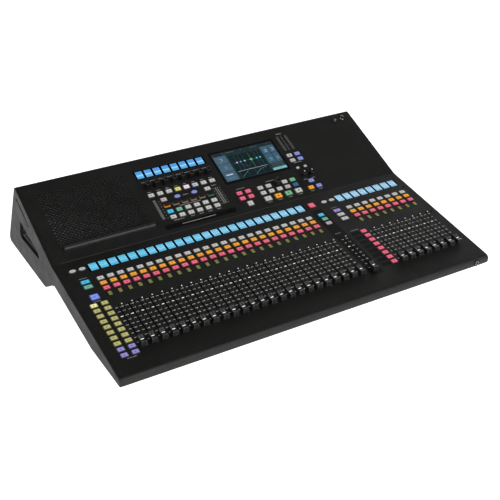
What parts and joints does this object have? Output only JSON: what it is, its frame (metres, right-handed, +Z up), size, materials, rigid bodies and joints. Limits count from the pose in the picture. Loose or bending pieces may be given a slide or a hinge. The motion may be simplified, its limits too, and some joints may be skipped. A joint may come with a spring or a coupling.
{
  "type": "digital mixing console",
  "caption": "Sloping digital audio mixing console with a row of motor faders, illuminated key rows, small channel displays, rotary encoders, a touchscreen and a tablet ledge.",
  "frame": {"origin": "on the table, under the middle of the console's box", "axes": "+Z up, +X to the operator's right, +Y away from the operator, who sits on the -Y side"},
  "size_m": [0.825, 0.6262, 0.1721],
  "materials": {
    "black_paint": "fine-textured black powder coat",
    "plated_steel": "zinc-plated sheet",
    "cap_plastic": "fine matt moulding",
    "knob_plastic": "soft-touch matt",
    "key_rubber": "translucent silicone, lit from below",
    "screen_glass": "black glass over a lit panel",
    "circuit_board": "solder mask"
  },
  "bodies": {
    "console": {"base_pan": "black_paint", "rear_panel": "black_paint", "fader_panel": "black_paint", "screen_panel": "black_paint", "left_cheek": "black_paint", "right_cheek": "black_paint", "touchscreen": "screen_glass", "tablet_ledge": "black_paint", "fader_bank": "plated_steel", "main_board": "circuit_board", "power_supply": "plated_steel"},
    "fader_cap_01": {"fader_cap_01": "cap_plastic"},
    "fader_cap_02": {"fader_cap_02": "cap_plastic"},
    "fader_cap_03": {"fader_cap_03": "cap_plastic"},
    "fader_cap_04": {"fader_cap_04": "cap_plastic"},
    "fader_cap_05": {"fader_cap_05": "cap_plastic"},
    "fader_cap_06": {"fader_cap_06": "cap_plastic"},
    "fader_cap_07": {"fader_cap_07": "cap_plastic"},
    "fader_cap_08": {"fader_cap_08": "cap_plastic"},
    "fader_cap_09": {"fader_cap_09": "cap_plastic"},
    "fader_cap_10": {"fader_cap_10": "cap_plastic"},
    "fader_cap_11": {"fader_cap_11": "cap_plastic"},
    "fader_cap_12": {"fader_cap_12": "cap_plastic"},
    "fader_cap_13": {"fader_cap_13": "cap_plastic"},
    "fader_cap_14": {"fader_cap_14": "cap_plastic"},
    "fader_cap_15": {"fader_cap_15": "cap_plastic"},
    "fader_cap_16": {"fader_cap_16": "cap_plastic"},
    "fader_cap_17": {"fader_cap_17": "cap_plastic"},
    "fader_cap_18": {"fader_cap_18": "cap_plastic"},
    "fader_cap_19": {"fader_cap_19": "cap_plastic"},
    "fader_cap_20": {"fader_cap_20": "cap_plastic"},
    "fader_cap_21": {"fader_cap_21": "cap_plastic"},
    "fader_cap_22": {"fader_cap_22": "cap_plastic"},
    "fader_cap_23": {"fader_cap_23": "cap_plastic"},
    "fader_cap_24": {"fader_cap_24": "cap_plastic"},
    "fader_cap_master": {"fader_cap_master": "cap_plastic"},
    "fader_cap_25": {"fader_cap_25": "cap_plastic"},
    "fader_cap_26": {"fader_cap_26": "cap_plastic"},
    "fader_cap_27": {"fader_cap_27": "cap_plastic"},
    "fader_cap_28": {"fader_cap_28": "cap_plastic"},
    "fader_cap_29": {"fader_cap_29": "cap_plastic"},
    "fader_cap_30": {"fader_cap_30": "cap_plastic"},
    "fader_cap_31": {"fader_cap_31": "cap_plastic"},
    "fader_cap_32": {"fader_cap_32": "cap_plastic"},
    "fat_encoder_1": {"fat_encoder_1": "knob_plastic"},
    "fat_encoder_2": {"fat_encoder_2": "knob_plastic"},
    "fat_encoder_3": {"fat_encoder_3": "knob_plastic"},
    "fat_encoder_4": {"fat_encoder_4": "knob_plastic"},
    "fat_encoder_5": {"fat_encoder_5": "knob_plastic"},
    "fat_encoder_6": {"fat_encoder_6": "knob_plastic"},
    "fat_encoder_7": {"fat_encoder_7": "knob_plastic"},
    "fat_encoder_8": {"fat_encoder_8": "knob_plastic"},
    "value_encoder": {"value_encoder": "knob_plastic"},
    "phones_level_knob": {"phones_level_knob": "knob_plastic"},
    "monitor_level_knob": {"monitor_level_knob": "knob_plastic"},
    "channel_key_mat": {"channel_key_mat": "key_rubber"},
    "bank_key_mat": {"bank_key_mat": "key_rubber"},
    "fat_channel_key_mat": {"fat_channel_key_mat": "key_rubber"},
    "screen_key_mat": {"screen_key_mat": "key_rubber"},
    "power_switch": {"power_switch": "knob_plastic"}
  },
  "joints": [
    {"name": "fader_cap_01_slide", "type": "slide", "parent": "console", "child": "fader_cap_01", "axis": [0, 0.981, 0.1942], "range_m": [0, 0.1]},
    {"name": "fader_cap_02_slide", "type": "slide", "parent": "console", "child": "fader_cap_02", "axis": [0, 0.981, 0.1942], "range_m": [0, 0.1]},
    {"name": "fader_cap_03_slide", "type": "slide", "parent": "console", "child": "fader_cap_03", "axis": [0, 0.981, 0.1942], "range_m": [0, 0.1]},
    {"name": "fader_cap_04_slide", "type": "slide", "parent": "console", "child": "fader_cap_04", "axis": [0, 0.981, 0.1942], "range_m": [0, 0.1]},
    {"name": "fader_cap_05_slide", "type": "slide", "parent": "console", "child": "fader_cap_05", "axis": [0, 0.981, 0.1942], "range_m": [0, 0.1]},
    {"name": "fader_cap_06_slide", "type": "slide", "parent": "console", "child": "fader_cap_06", "axis": [0, 0.981, 0.1942], "range_m": [0, 0.1]},
    {"name": "fader_cap_07_slide", "type": "slide", "parent": "console", "child": "fader_cap_07", "axis": [0, 0.981, 0.1942], "range_m": [0, 0.1]},
    {"name": "fader_cap_08_slide", "type": "slide", "parent": "console", "child": "fader_cap_08", "axis": [0, 0.981, 0.1942], "range_m": [0, 0.1]},
    {"name": "fader_cap_09_slide", "type": "slide", "parent": "console", "child": "fader_cap_09", "axis": [0, 0.981, 0.1942], "range_m": [0, 0.1]},
    {"name": "fader_cap_10_slide", "type": "slide", "parent": "console", "child": "fader_cap_10", "axis": [0, 0.981, 0.1942], "range_m": [0, 0.1]},
    {"name": "fader_cap_11_slide", "type": "slide", "parent": "console", "child": "fader_cap_11", "axis": [0, 0.981, 0.1942], "range_m": [0, 0.1]},
    {"name": "fader_cap_12_slide", "type": "slide", "parent": "console", "child": "fader_cap_12", "axis": [0, 0.981, 0.1942], "range_m": [0, 0.1]},
    {"name": "fader_cap_13_slide", "type": "slide", "parent": "console", "child": "fader_cap_13", "axis": [0, 0.981, 0.1942], "range_m": [0, 0.1]},
    {"name": "fader_cap_14_slide", "type": "slide", "parent": "console", "child": "fader_cap_14", "axis": [0, 0.981, 0.1942], "range_m": [0, 0.1]},
    {"name": "fader_cap_15_slide", "type": "slide", "parent": "console", "child": "fader_cap_15", "axis": [0, 0.981, 0.1942], "range_m": [0, 0.1]},
    {"name": "fader_cap_16_slide", "type": "slide", "parent": "console", "child": "fader_cap_16", "axis": [0, 0.981, 0.1942], "range_m": [0, 0.1]},
    {"name": "fader_cap_17_slide", "type": "slide", "parent": "console", "child": "fader_cap_17", "axis": [0, 0.981, 0.1942], "range_m": [0, 0.1]},
    {"name": "fader_cap_18_slide", "type": "slide", "parent": "console", "child": "fader_cap_18", "axis": [0, 0.981, 0.1942], "range_m": [0, 0.1]},
    {"name": "fader_cap_19_slide", "type": "slide", "parent": "console", "child": "fader_cap_19", "axis": [0, 0.981, 0.1942], "range_m": [0, 0.1]},
    {"name": "fader_cap_20_slide", "type": "slide", "parent": "console", "child": "fader_cap_20", "axis": [0, 0.981, 0.1942], "range_m": [0, 0.1]},
    {"name": "fader_cap_21_slide", "type": "slide", "parent": "console", "child": "fader_cap_21", "axis": [0, 0.981, 0.1942], "range_m": [0, 0.1]},
    {"name": "fader_cap_22_slide", "type": "slide", "parent": "console", "child": "fader_cap_22", "axis": [0, 0.981, 0.1942], "range_m": [0, 0.1]},
    {"name": "fader_cap_23_slide", "type": "slide", "parent": "console", "child": "fader_cap_23", "axis": [0, 0.981, 0.1942], "range_m": [0, 0.1]},
    {"name": "fader_cap_24_slide", "type": "slide", "parent": "console", "child": "fader_cap_24", "axis": [0, 0.981, 0.1942], "range_m": [0, 0.1]},
    {"name": "fader_cap_master_slide", "type": "slide", "parent": "console", "child": "fader_cap_master", "axis": [0, 0.981, 0.1942], "range_m": [0, 0.1]},
    {"name": "fader_cap_25_slide", "type": "slide", "parent": "console", "child": "fader_cap_25", "axis": [0, 0.981, 0.1942], "range_m": [0, 0.1]},
    {"name": "fader_cap_26_slide", "type": "slide", "parent": "console", "child": "fader_cap_26", "axis": [0, 0.981, 0.1942], "range_m": [0, 0.1]},
    {"name": "fader_cap_27_slide", "type": "slide", "parent": "console", "child": "fader_cap_27", "axis": [0, 0.981, 0.1942], "range_m": [0, 0.1]},
    {"name": "fader_cap_28_slide", "type": "slide", "parent": "console", "child": "fader_cap_28", "axis": [0, 0.981, 0.1942], "range_m": [0, 0.1]},
    {"name": "fader_cap_29_slide", "type": "slide", "parent": "console", "child": "fader_cap_29", "axis": [0, 0.981, 0.1942], "range_m": [0, 0.1]},
    {"name": "fader_cap_30_slide", "type": "slide", "parent": "console", "child": "fader_cap_30", "axis": [0, 0.981, 0.1942], "range_m": [0, 0.1]},
    {"name": "fader_cap_31_slide", "type": "slide", "parent": "console", "child": "fader_cap_31", "axis": [0, 0.981, 0.1942], "range_m": [0, 0.1]},
    {"name": "fader_cap_32_slide", "type": "slide", "parent": "console", "child": "fader_cap_32", "axis": [0, 0.981, 0.1942], "range_m": [0, 0.1]},
    {"name": "fat_encoder_1_turn", "type": "hinge", "parent": "console", "child": "fat_encoder_1", "pos_m": [-0.15368, 0.12942, 0.13767], "axis": [0, -0.4274, 0.9041], "continuous": true},
    {"name": "fat_encoder_2_turn", "type": "hinge", "parent": "console", "child": "fat_encoder_2", "pos_m": [-0.13308, 0.12942, 0.13767], "axis": [0, -0.4274, 0.9041], "continuous": true},
    {"name": "fat_encoder_3_turn", "type": "hinge", "parent": "console", "child": "fat_encoder_3", "pos_m": [-0.11248, 0.12942, 0.13767], "axis": [0, -0.4274, 0.9041], "continuous": true},
    {"name": "fat_encoder_4_turn", "type": "hinge", "parent": "console", "child": "fat_encoder_4", "pos_m": [-0.09188, 0.12942, 0.13767], "axis": [0, -0.4274, 0.9041], "continuous": true},
    {"name": "fat_encoder_5_turn", "type": "hinge", "parent": "console", "child": "fat_encoder_5", "pos_m": [-0.07128, 0.12942, 0.13767], "axis": [0, -0.4274, 0.9041], "continuous": true},
    {"name": "fat_encoder_6_turn", "type": "hinge", "parent": "console", "child": "fat_encoder_6", "pos_m": [-0.05068, 0.12942, 0.13767], "axis": [0, -0.4274, 0.9041], "continuous": true},
    {"name": "fat_encoder_7_turn", "type": "hinge", "parent": "console", "child": "fat_encoder_7", "pos_m": [-0.03008, 0.12942, 0.13767], "axis": [0, -0.4274, 0.9041], "continuous": true},
    {"name": "fat_encoder_8_turn", "type": "hinge", "parent": "console", "child": "fat_encoder_8", "pos_m": [-0.00948, 0.12942, 0.13767], "axis": [0, -0.4274, 0.9041], "continuous": true},
    {"name": "value_encoder_turn", "type": "hinge", "parent": "console", "child": "value_encoder", "pos_m": [0.12525, 0.06089, 0.10528], "axis": [0, -0.4274, 0.9041], "continuous": true},
    {"name": "phones_level_knob_turn", "type": "hinge", "parent": "console", "child": "phones_level_knob", "pos_m": [0.19735, 0.06233, 0.10596], "axis": [0, -0.4274, 0.9041], "range_deg": [-150, 150]},
    {"name": "monitor_level_knob_turn", "type": "hinge", "parent": "console", "child": "monitor_level_knob", "pos_m": [0.21671, 0.06233, 0.10596], "axis": [0, -0.4274, 0.9041], "range_deg": [-150, 150]},
    {"name": "channel_key_mat_press", "type": "slide", "parent": "console", "child": "channel_key_mat", "axis": [0, -0.1942, 0.981], "range_m": [-0.001, 0]},
    {"name": "bank_key_mat_press", "type": "slide", "parent": "console", "child": "bank_key_mat", "axis": [0, -0.1942, 0.981], "range_m": [-0.001, 0]},
    {"name": "fat_channel_key_mat_press", "type": "slide", "parent": "console", "child": "fat_channel_key_mat", "axis": [0, -0.4274, 0.9041], "range_m": [-0.001, 0]},
    {"name": "screen_key_mat_press", "type": "slide", "parent": "console", "child": "screen_key_mat", "axis": [0, -0.4274, 0.9041], "range_m": [-0.001, 0]},
    {"name": "power_switch_rock", "type": "hinge", "parent": "console", "child": "power_switch", "pos_m": [0.345, 0.29769, 0.03796], "axis": [-1, 0, 0], "range_deg": [0, 16]}
  ]
}
